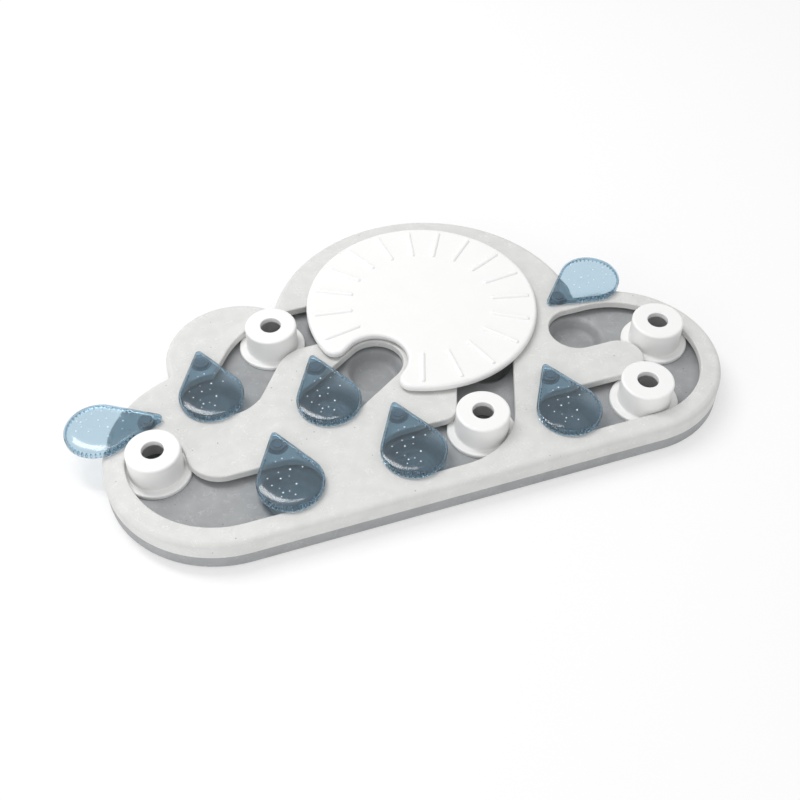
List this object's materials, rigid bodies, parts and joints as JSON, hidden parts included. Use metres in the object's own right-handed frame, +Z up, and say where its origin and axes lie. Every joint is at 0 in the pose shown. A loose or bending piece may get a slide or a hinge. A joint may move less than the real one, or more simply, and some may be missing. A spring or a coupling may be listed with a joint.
{
  "type": "cat puzzle feeder",
  "caption": "Cloud-shaped puzzle feeder for cats: a low tray of treat wells and slots, with sliding pegs, swinging clear raindrops and a turning sun disc that hide the treats.",
  "frame": {"origin": "on the table, under the middle of the box around the feeder, with raindrop 2 swung out to the left", "axes": "+X along the straight front edge to the right, +Y towards the back, +Z up"},
  "size_m": [0.3886, 0.2247, 0.0316],
  "materials": {
    "cover_grey": "moulded light grey plastic with fine light and dark specks, fine matt texture",
    "base_grey": "moulded mid grey plastic with fine specks, fine matt texture",
    "white_plastic": "smooth white plastic, satin",
    "clear_blue": "clear blue tinted plastic, polished",
    "axle_plastic": "mid grey moulded pin, smooth",
    "screw_steel": "zinc-plated steel",
    "foot_rubber": "matt soft rubber"
  },
  "bodies": {
    "tray": {"base_tray": "base_grey", "cloud_cover": "cover_grey", "case_screws": "screw_steel", "rubber_feet": "foot_rubber"},
    "sun": {"sun_disc": "white_plastic", "sun_axle": "white_plastic", "sun_washer": "screw_steel", "sun_screw": "screw_steel"},
    "drop_1": {"raindrop_1": "clear_blue", "drop_axle_1": "axle_plastic", "drop_clip_1": "screw_steel"},
    "drop_2": {"raindrop_2": "clear_blue", "drop_axle_2": "axle_plastic", "drop_clip_2": "screw_steel"},
    "drop_3": {"raindrop_3": "clear_blue", "drop_axle_3": "axle_plastic", "drop_clip_3": "screw_steel"},
    "drop_4": {"raindrop_4": "clear_blue", "drop_axle_4": "axle_plastic", "drop_clip_4": "screw_steel"},
    "drop_5": {"raindrop_5": "clear_blue", "drop_axle_5": "axle_plastic", "drop_clip_5": "screw_steel"},
    "drop_6": {"raindrop_6": "clear_blue", "drop_axle_6": "axle_plastic", "drop_clip_6": "screw_steel"},
    "drop_7": {"raindrop_7": "clear_blue", "drop_axle_7": "axle_plastic", "drop_clip_7": "screw_steel"},
    "slider_1": {"peg_1": "white_plastic"},
    "slider_2": {"peg_2": "white_plastic"},
    "slider_3": {"peg_3": "white_plastic"},
    "slider_4": {"peg_4": "white_plastic"},
    "slider_5": {"peg_5": "white_plastic"}
  },
  "joints": [
    {"name": "sun_turn", "type": "hinge", "parent": "tray", "child": "sun", "pos_m": [0.0334, 0.0256, 0.0203], "axis": [0, 0, 1], "continuous": true},
    {"name": "drop_1_swing", "type": "hinge", "parent": "tray", "child": "drop_1", "pos_m": [-0.1081, 0.0214, 0.0203], "axis": [0, 0, 1], "range_deg": [-29, 50]},
    {"name": "drop_2_swing", "type": "hinge", "parent": "tray", "child": "drop_2", "pos_m": [-0.1478, -0.0136, 0.0203], "axis": [0, 0, -1], "range_deg": [-15, 99]},
    {"name": "drop_3_swing", "type": "hinge", "parent": "tray", "child": "drop_3", "pos_m": [-0.0442, -0.0039, 0.0203], "axis": [0, 0, 1], "range_deg": [-62, 10]},
    {"name": "drop_4_swing", "type": "hinge", "parent": "tray", "child": "drop_4", "pos_m": [-0.0815, -0.0555, 0.0203], "axis": [0, 0, 1], "range_deg": [-111, 62]},
    {"name": "drop_5_swing", "type": "hinge", "parent": "tray", "child": "drop_5", "pos_m": [-0.0099, -0.0555, 0.0203], "axis": [0, 0, 1], "range_deg": [-60, 19]},
    {"name": "drop_6_swing", "type": "hinge", "parent": "tray", "child": "drop_6", "pos_m": [0.0854, -0.0555, 0.0203], "axis": [0, 0, 1], "range_deg": [-35, 29]},
    {"name": "drop_7_swing", "type": "hinge", "parent": "tray", "child": "drop_7", "pos_m": [0.1186, 0.0064, 0.0203], "axis": [0, 0, 1], "range_deg": [-119, 56]},
    {"name": "peg_1_track", "type": "hinge", "parent": "tray", "child": "slider_1", "pos_m": [-0.0452, -0.0072, 0.0127], "axis": [0, 0, -1], "range_deg": [-29, 10]},
    {"name": "peg_2_track", "type": "hinge", "parent": "tray", "child": "slider_2", "pos_m": [-0.1115, -0.0455, 0.0127], "axis": [0, 0, -1], "range_deg": [-83, 4]},
    {"name": "peg_3_track", "type": "hinge", "parent": "tray", "child": "slider_3", "pos_m": [0.0155, -0.0558, 0.0127], "axis": [0, 0, 1], "range_deg": [-22, 24]},
    {"name": "peg_4_track", "type": "hinge", "parent": "tray", "child": "slider_4", "pos_m": [0.134, -0.052, 0.0127], "axis": [0, 0, 1], "range_deg": [-28, 67]},
    {"name": "peg_5_track", "type": "slide", "parent": "tray", "child": "slider_5", "axis": [1, 0, 0], "range_m": [-0.013, 0.005]}
  ]
}
